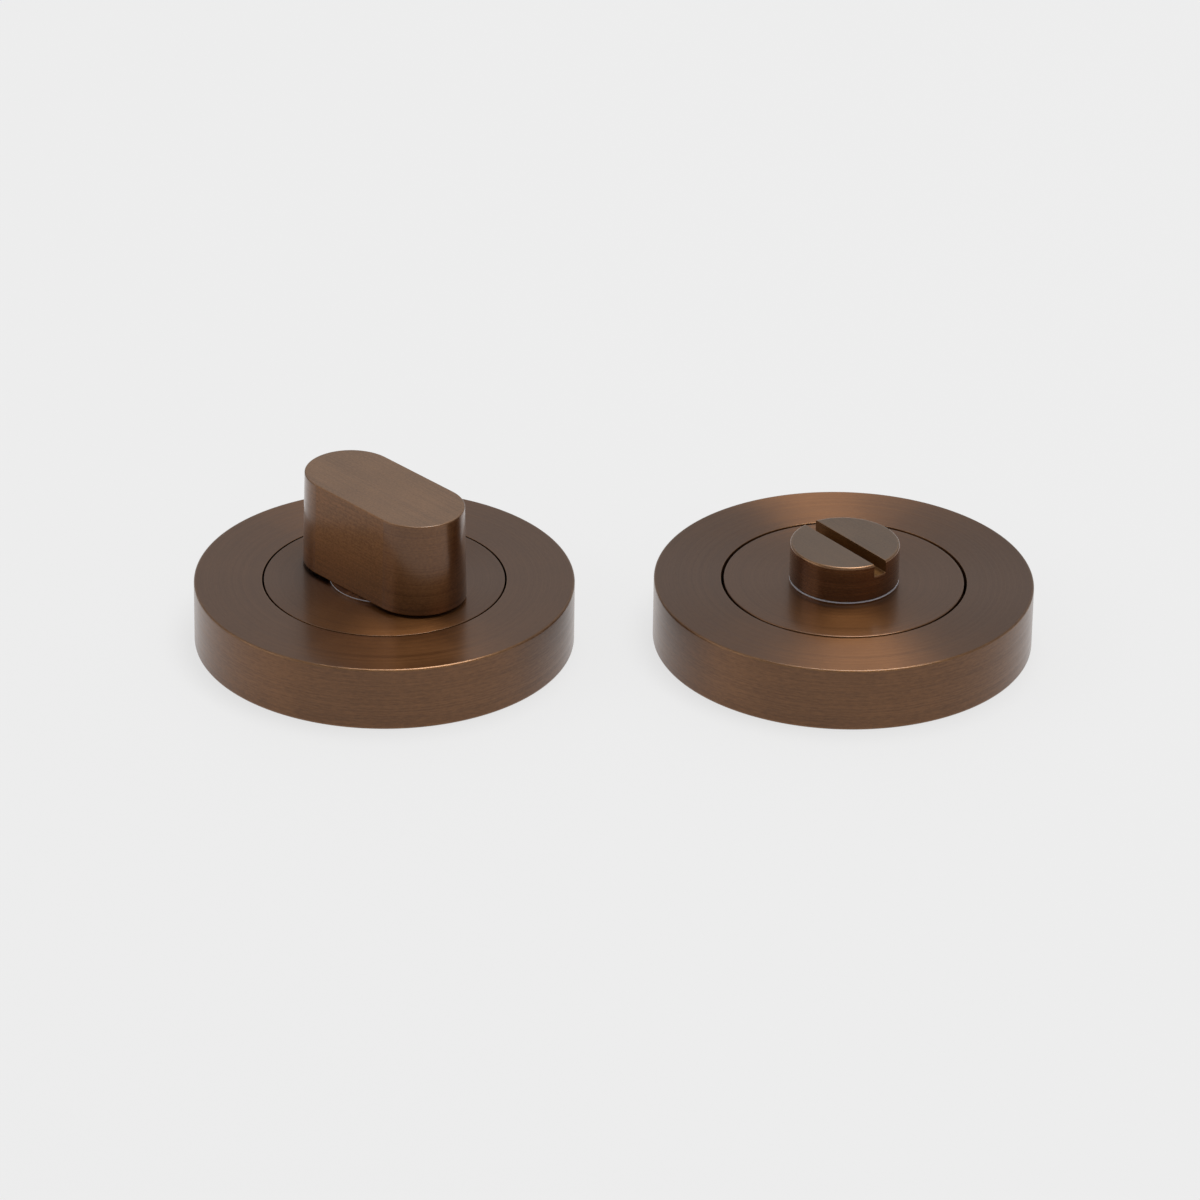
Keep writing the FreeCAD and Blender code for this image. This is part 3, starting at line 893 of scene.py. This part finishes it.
@dataclass
class Stem:
    """The turned shank behind the grip or the knob, with its circlip groove and its socket.

    Attributes:
        radius: of the stem.
        end: height of its end above the door face.
        end_edge: chamfer at its end.
        groove: low and high side of the circlip groove, and its depth.
        seat: height where it meets the grip's or the knob's foot.
        socket: half width and top of the square socket.
        pilot: radius of the drilled pilot and the height of its point.
    """

    radius: float = 5.0 * MM
    end: float = 0.4 * MM
    end_edge: float = 0.3 * MM
    groove: tuple[float, float, float] = (1.1 * MM, 2.2 * MM, 0.2 * MM)
    seat: float = 9.45 * MM
    socket: tuple[float, float] = (2.55 * MM, 10.4 * MM)
    pilot: tuple[float, float] = (2.3 * MM, 11.78 * MM)

    def section(self) -> list[Corner]:
        """The stem's half of a turned section, from its end up to its seat.

        Returns:
            The corners in order.
        """
        low, high, depth = self.groove
        return [
            Corner(0.0, self.end),
            Corner(self.radius - self.end_edge, self.end),
            Corner(self.radius, self.end + self.end_edge),
            Corner(self.radius, low),
            Corner(self.radius - depth, low),
            Corner(self.radius - depth, high),
            Corner(self.radius, high),
            Corner(self.radius, self.seat),
        ]

    def cut_socket(self, piece: bpy.types.Object) -> None:
        """Cut the square socket and the point of its pilot drill.

        Args:
            piece: the turn or the release.
        """
        half, top = self.socket
        pilot, point = self.pilot
        past = 1 * MM
        square = ((-half, -half), (half, -half), (half, half), (-half, half))
        broach = layered_shape([[Vector((x, y, z)) for x, y in square] for z in (self.end - past, top)])
        carve(piece, broach, Carving.CUT)
        tip = turned_shape([Corner(0.0, top - past), Corner(pilot, top - past), Corner(pilot, top),
                            Corner(0.0, point)], DRILLED_SEGMENTS)
        carve(piece, tip, Carving.CUT)


@dataclass
class ThumbTurn:
    """The grip, its collar and its stem, made as one piece.

    Attributes:
        half: the half that it belongs to.
        stem: its stem.
        collar: radius and height of the round collar below the grip.
        length: of the grip at its foot.
        width: of the grip across its flats, at its foot.
        height: of the grip.
        draft: taper of its sides towards its top, in degrees.
        top_edge: rounding of its top edge.
        foot_edge: rounding of its bottom edge.
        level: a face whose normal has more than this of Z counts as part of the top.
        wear: how far its outer edges are rubbed and painted with a highlight, from 0 to 1.
    """

    half: Half
    stem: Stem
    collar: tuple[float, float] = (7.5 * MM, 0.1 * MM)
    length: float = 26.9 * MM
    width: float = 13.2 * MM
    height: float = 13.4 * MM
    draft: float = 1.2
    top_edge: float = 0.15 * MM
    foot_edge: float = 0.10 * MM
    level: float = 0.8
    wear: float = 0.15

    def outline(self, inset: float) -> list[Vector]:
        """The grip's round ended outline.

        Args:
            inset: how far it lies inside the grip's sides.

        Returns:
            Its points, level with the door face.
        """
        reach = self.width / 2 - inset
        middle = (self.length - self.width) / 2
        points = []
        for side in (1, -1):
            for step in range(GRIP_END_SEGMENTS + 1):
                angle = math.pi * (step / GRIP_END_SEGMENTS - 0.5)
                points.append(side * Vector((middle + reach * math.cos(angle), reach * math.sin(angle), 0.0)))
        return points

    def layers(self, foot: float) -> list[list[Vector]]:
        """Outlines of the grip from its foot to its top, with both edges rounded.

        Args:
            foot: height of the grip's underside.

        Returns:
            The outlines in order.
        """
        top = foot + self.height
        square = math.pi / 2
        steps = [step / ROUNDING_STEPS * square for step in range(ROUNDING_STEPS + 1)]
        low, high = self.foot_edge, self.top_edge
        levels = [(foot, low + SUPPORT)]
        levels += [(foot + low - low * math.cos(a), low - low * math.sin(a)) for a in steps]
        levels += [(foot + low + SUPPORT, 0.0), (top - high - SUPPORT, 0.0)]
        levels += [(top - high + high * math.sin(a), high - high * math.cos(a)) for a in steps]
        levels += [(top, high + SUPPORT)]
        slope = math.tan(math.radians(self.draft))
        return [[point + Vector((0.0, 0.0, z)) for point in self.outline(inset + slope * (z - foot))]
                for z, inset in levels]

    def round_the_grip(self, point: Vector, centre: Vector) -> Scratch:
        """Scratches that run level round the grip's sides.

        Args:
            point: a corner of the face.
            centre: the middle of the face.

        Returns:
            The point's place in the scratches.
        """
        middle = (self.length - self.width) / 2
        reach = self.width / 2
        if abs(centre.x) <= middle:
            along = -math.copysign(point.x, centre.y) if centre.y > 0 else point.x
        else:
            side = math.copysign(1, centre.x)
            facing = math.atan2(side * centre.y, side * centre.x - middle)
            angle = math.atan2(side * point.y, side * point.x - middle)
            along = reach * (facing + math.remainder(angle - facing, FULL_TURN))
        return Scratch(along, -point.z, (point.x, point.y))

    def surface_of(self, centre: Vector, normal: Vector) -> Surface:
        """The surface of one face of the turn.

        Args:
            centre: the middle of the face.
            normal: its normal.

        Returns:
            Turned on the stem, faced on the grip's top, satin on its flats and brushed on its ends.
        """
        if centre.z < self.stem.seat + self.collar[1]:
            return Surface(Finish.TURNED)
        if normal.z > self.level:
            return Surface(Finish.FACED, lengthwise)
        on_a_flat = abs(centre.x) < (self.length - self.width) / 2
        return Surface(Finish.SATIN if on_a_flat else Finish.BRUSHED, self.round_the_grip)

    def make(self) -> None:
        """Make the turn and stand it on its half."""
        rim, lift = self.collar
        foot = self.stem.seat + lift
        core = 3 * MM
        stem = turned_shape(self.stem.section() + [
            Corner(rim, self.stem.seat),
            Corner(rim, foot),
            Corner(self.stem.radius, foot),
            Corner(self.stem.radius, foot + core),
            Corner(0.0, foot + core),
        ])
        turn = as_object("thumb_turn_grip", stem)
        carve(turn, layered_shape(self.layers(foot)), Carving.JOIN)
        self.stem.cut_socket(turn)
        lay_surfaces(turn.data, self.surface_of)
        mark_rub_and_highlight(turn.data, self.wear)
        self.half.place(turn, turned=True)
        dress(turn, "turn", "thumb_turn")


@dataclass
class ReleaseKnob:
    """The round knob with its coin slot, and its stem, made as one piece.

    Attributes:
        half: the half that it belongs to.
        stem: its stem.
        radius: of the knob.
        height: of the knob above its seat.
        edge: rounding of its top edge.
        foot_step: depth and height of the small step at its foot.
        slot: width and depth of the coin slot.
        slot_edge: rounding of the slot's top edges.
        slot_corner: small radius that the cutter leaves in the slot.
        slot_end_edge: rounding where the slot runs out of the knob's side.
        side_rows: rows of faces on the knob's side.
        top_rows: rows of faces on the knob's top.
        level: a face whose normal has more than this of Z counts as part of the top.
    """

    half: Half
    stem: Stem
    radius: float = 7.5 * MM
    height: float = 5.34 * MM
    edge: float = 0.30 * MM
    foot_step: tuple[float, float] = (0.2 * MM, 0.2 * MM)
    slot: tuple[float, float] = (2.0 * MM, 1.8 * MM)
    slot_edge: float = 0.07 * MM
    slot_corner: float = 0.12 * MM
    slot_end_edge: float = 0.06 * MM
    side_rows: int = 8
    top_rows: int = 20
    level: float = 0.9

    def slot_tool(self, top: float) -> bmesh.types.BMesh:
        """The cutter of the coin slot, which also breaks the slot's top edges.

        Args:
            top: height of the knob's top.

        Returns:
            A bar along X with the slot's section.
        """
        width, depth = self.slot
        half, floor, past = width / 2, top - depth, 1 * MM
        square = math.pi / 2
        share = 0.9
        steps = [step / ROUNDING_STEPS for step in range(ROUNDING_STEPS + 1)]
        side = [(half - self.slot_corner * (1 - math.sin(part * square)),
                 floor + self.slot_corner * (1 - math.cos(part * square))) for part in steps]
        side += [(half + self.slot_edge * (1 - math.cos(share * part * square)),
                  top - self.slot_edge * (1 - math.sin(share * part * square))) for part in steps]
        side.append((half + 2 * self.slot_edge, top + past))
        bar = side + [(-across, up) for across, up in reversed(side)]
        reach = self.radius + past
        return layered_shape([[Vector((x, across, up)) for across, up in bar] for x in (-reach, reach)])

    def round_slot_ends(self, knob: bpy.types.Object, top: float) -> None:
        """Round the edges where the slot runs out of the knob's side.

        Args:
            knob: the knob with its slot.
            top: height of the knob's top.
        """
        floor = top - self.slot[1]
        shape = bmesh.new()
        shape.from_mesh(knob.data)
        ends = [edge for edge in shape.edges
                if edge.calc_face_angle(0.0) > SHARP_ANGLE
                and all(abs(math.hypot(vertex.co.x, vertex.co.y) - self.radius) < NEAR
                        and abs(vertex.co.y) < self.slot[0] / 2 + NEAR
                        and floor - NEAR < vertex.co.z < top - self.edge for vertex in edge.verts)]
        bmesh.ops.bevel(shape, geom=ends, offset=self.slot_end_edge, offset_type="OFFSET", segments=2,
                        profile=0.5, affect="EDGES", clamp_overlap=True)
        shape.to_mesh(knob.data)
        shape.free()

    def surface_of(self, centre: Vector, normal: Vector) -> Surface:
        """The surface of one face of the release.

        Args:
            centre: the middle of the face.
            normal: its normal.

        Returns:
            Faced on the knob's top, milled in its slot, brushed on its side and turned on the stem.
        """
        top = self.stem.seat + self.height
        half = self.slot[0] / 2 + self.slot_edge
        floor = top - self.slot[1] - self.slot_corner
        inside = math.hypot(centre.x, centre.y) < self.radius - NEAR
        if inside and abs(centre.y) <= half and floor < centre.z < top - self.slot_edge:
            return Surface(Finish.MILLED, lengthwise)
        if normal.z > self.level:
            return Surface(Finish.KNOB_TOP, lengthwise)
        return Surface(Finish.TURNED if centre.z < self.stem.seat else Finish.KNOB)

    def make(self) -> None:
        """Make the release and stand it on its half."""
        seat = self.stem.seat
        top = seat + self.height
        step, rise = self.foot_step
        knob = as_object("release_coin_knob", turned_shape(self.stem.section() + [
            Corner(self.radius - step, seat),
            Corner(self.radius - step, seat + rise),
            Corner(self.radius, seat + rise, rows=self.side_rows),
            Corner(self.radius, top, self.edge, self.top_rows),
            Corner(0.0, top),
        ]))
        carve(knob, self.slot_tool(top), Carving.CUT)
        self.stem.cut_socket(knob)
        self.round_slot_ends(knob, top)
        lay_surfaces(knob.data, self.surface_of)
        # The knob's rounded edges take the full rubbed colour, partly real rubbing and partly a painted
        # highlight.
        mark_rub_and_highlight(knob.data)
        self.half.place(knob, turned=True)
        dress(knob, "release", "release_knob")


@dataclass
class Hardware:
    """The washers and circlips behind the bosses, which keep their own shape.

    Attributes:
        halves: the halves whose hardware it is.
        kinds: how their nodes' names end.
    """

    halves: Sequence[Half]
    kinds: tuple[str, ...] = ("_spring_washer", "_thrust_washer", "_circlip")

    def dress(self) -> None:
        """Give every washer and circlip its finish."""
        for half in self.halves:
            for kind in self.kinds:
                piece = frame["nodes"][half.name + kind]
                piece.data.materials.clear()
                piece.data.materials.append(bpy.data.materials[Finish.STEEL.value])
                LOG.info("%s: keeps its shape, in %s", piece.name, Finish.STEEL.value)


@dataclass(frozen=True)
class Softbox:
    """A large soft light.

    Attributes:
        name: its name.
        azimuth: direction that it stands in, in degrees from +X.
        elevation: its height above the floor, in degrees.
        distance: from the lock.
        size: its two sides.
        radiance: brightness of its face.
    """

    name: str
    azimuth: float
    elevation: float
    distance: float
    size: tuple[float, float]
    radiance: float

    def hang(self) -> None:
        """Put the light into the scene, aimed at the lock."""
        lamp = bpy.data.lights.new(self.name, "AREA")
        lamp.shape = "RECTANGLE"
        lamp.size, lamp.size_y = self.size
        lamp.energy = self.radiance * self.size[0] * self.size[1] * math.pi
        stand = bpy.data.objects.new(self.name, lamp)
        rise, turn = math.radians(self.elevation), math.radians(self.azimuth)
        level = math.cos(rise)
        out = Vector((level * math.cos(turn), level * math.sin(turn), math.sin(rise)))
        stand.location = self.distance * out
        stand.rotation_euler = out.to_track_quat("Z", "Y").to_euler()
        bpy.context.scene.collection.objects.link(stand)


@dataclass
class Studio:
    """The plain pale floor, the soft light and the camera.

    Attributes:
        floor_size: side of the floor.
        floor_colour: of the floor.
        floor_shade: how bright its duller patches are, as a share of that colour.
        floor_glow: light that the floor gives by itself, as a lit table does.
        sky: height of a direction, from -1 to 1, and the brightness there.
        boxes: the soft lights.
        target: the point at the middle of the picture.
        eye: where the camera stands.
        roll: how far the camera leans, in degrees.
        lens: focal length in millimetres.
        sensor: width of the camera's sensor in millimetres.
        clip: nearest and furthest distance that the camera sees.
    """

    floor_size: float = 8.0
    floor_colour: Colour = (0.13, 0.13, 0.13, 1.0)
    floor_shade: float = 0.985
    floor_glow: float = 0.69
    sky: Sequence[tuple[float, float]] = ((-1.0, 0.4), (0.0, 0.42), (0.47, 0.48), (0.75, 0.45), (1.0, 0.45))
    boxes: Sequence[Softbox] = (
        Softbox("overhead_box", azimuth=35.0, elevation=78.3, distance=1.3, size=(1.05, 0.55), radiance=6.4),
        Softbox("left_box", azimuth=190.0, elevation=30.0, distance=1.3, size=(0.9, 0.6), radiance=1.2),
    )
    target: Vector = field(default_factory=lambda: Vector((-1.60, 10.69, 0.0)) * MM)
    eye: Vector = field(default_factory=lambda: Vector((-27.71, -869.76, 475.5)) * MM)
    roll: float = 0.9165
    lens: float = 216.76
    sensor: float = 36.0
    clip: tuple[float, float] = (0.05, 20.0)

    def lay_floor(self) -> None:
        """Lay the floor, a pale board with a barely uneven tone."""
        shape = bmesh.new()
        bmesh.ops.create_grid(shape, x_segments=16, y_segments=16, size=self.floor_size / 2)
        floor = as_object("studio_floor", shape)
        sheet = NodeSheet(bpy.data.materials.new("pale_board"))
        spot = sheet.add("ShaderNodeTexCoord").outputs["Object"]
        tone = sheet.swing(sheet.noise(spot, 18.0, 4.0), 0.0, 1.0)
        duller = (*(part * self.floor_shade for part in self.floor_colour[:3]), 1.0)
        sheet.show(sheet.add("ShaderNodeBsdfPrincipled", {
            "Base Color": sheet.mixed(tone, duller, self.floor_colour),
            "Roughness": 0.7,
            "Specular IOR Level": 0.2,
            "Emission Color": (1.0, 1.0, 1.0, 1.0),
            "Emission Strength": self.floor_glow,
        }))
        floor.data.materials.append(sheet.owner)

    def light(self) -> None:
        """Light the room from all sides, least from below, and hang the soft boxes."""
        bpy.context.scene.world = bpy.data.worlds.new("soft_room")
        sheet = NodeSheet(bpy.context.scene.world)
        direction = sheet.add("ShaderNodeTexCoord").outputs["Generated"]
        height = sheet.add("ShaderNodeSeparateXYZ", {0: direction}).outputs["Z"]
        ramp = sheet.add("ShaderNodeValToRGB", {"Fac": sheet.ranged(height, -1.0, 1.0, 0.0, 1.0)})
        sheet.show(sheet.add("ShaderNodeBackground", {"Color": ramp.outputs["Color"]}),
                   "ShaderNodeOutputWorld")
        stops = ramp.color_ramp.elements
        while len(stops) < len(self.sky):
            stops.new(0.5)
        for stop, (rise, brightness) in zip(stops, self.sky):
            stop.position = (rise + 1) / 2
            stop.color = (brightness, brightness, brightness, 1.0)
        for box in self.boxes:
            box.hang()

    def set_camera(self) -> None:
        """Stand the camera where the photograph was taken from."""
        ahead = (self.target - self.eye).normalized()
        level = ahead.cross(Vector((0.0, 0.0, 1.0))).normalized()
        upright = level.cross(ahead)
        lean = math.radians(self.roll)
        right = math.cos(lean) * level + math.sin(lean) * upright
        up = math.cos(lean) * upright - math.sin(lean) * level
        camera = bpy.data.objects.new("camera", bpy.data.cameras.new("camera"))
        camera.data.sensor_width = self.sensor
        camera.data.lens = self.lens
        camera.data.clip_start, camera.data.clip_end = self.clip
        turned = Matrix((right, up, -ahead)).transposed().to_4x4()
        camera.matrix_world = Matrix.Translation(self.eye) @ turned
        bpy.context.scene.collection.objects.link(camera)
        bpy.context.scene.camera = camera
        bpy.context.scene.view_settings.view_transform = "Standard"

    def make(self) -> None:
        """Make the whole studio."""
        self.lay_floor()
        self.light()
        self.set_camera()
        LOG.info("studio: %d soft boxes", len(self.boxes))


def main() -> None:
    """Build both halves of the lock and the studio round them."""
    logging.basicConfig(level=logging.INFO, format="%(message)s")
    for finish in FINISHES:
        finish.make()
    turn_half = Half("turn", "turn_spin", direction=132.1, gap=0.25 * MM,
                     bolt_hole=2.15 * MM, bolt_head=3.7 * MM, lip=0.06 * MM,
                     cover_finish=Finish.CLOSE_TURNED, base_finish=Finish.TURNED)
    release_half = Half("release", "release_spin", direction=127.0, gap=0.38 * MM,
                        bolt_hole=1.65 * MM, bolt_head=None, lip=0.15 * MM,
                        cover_finish=Finish.TURNED, base_finish=Finish.FINE_TURNED)
    for half in (turn_half, release_half):
        rose = Rose(half)
        rose.make_cover()
        rose.make_base()
        rose.make_bush()
    ThumbTurn(turn_half, Stem()).make()
    ReleaseKnob(release_half, Stem()).make()
    Hardware((turn_half, release_half)).dress()
    Studio().make()


if __name__ == "__main__":
    main()
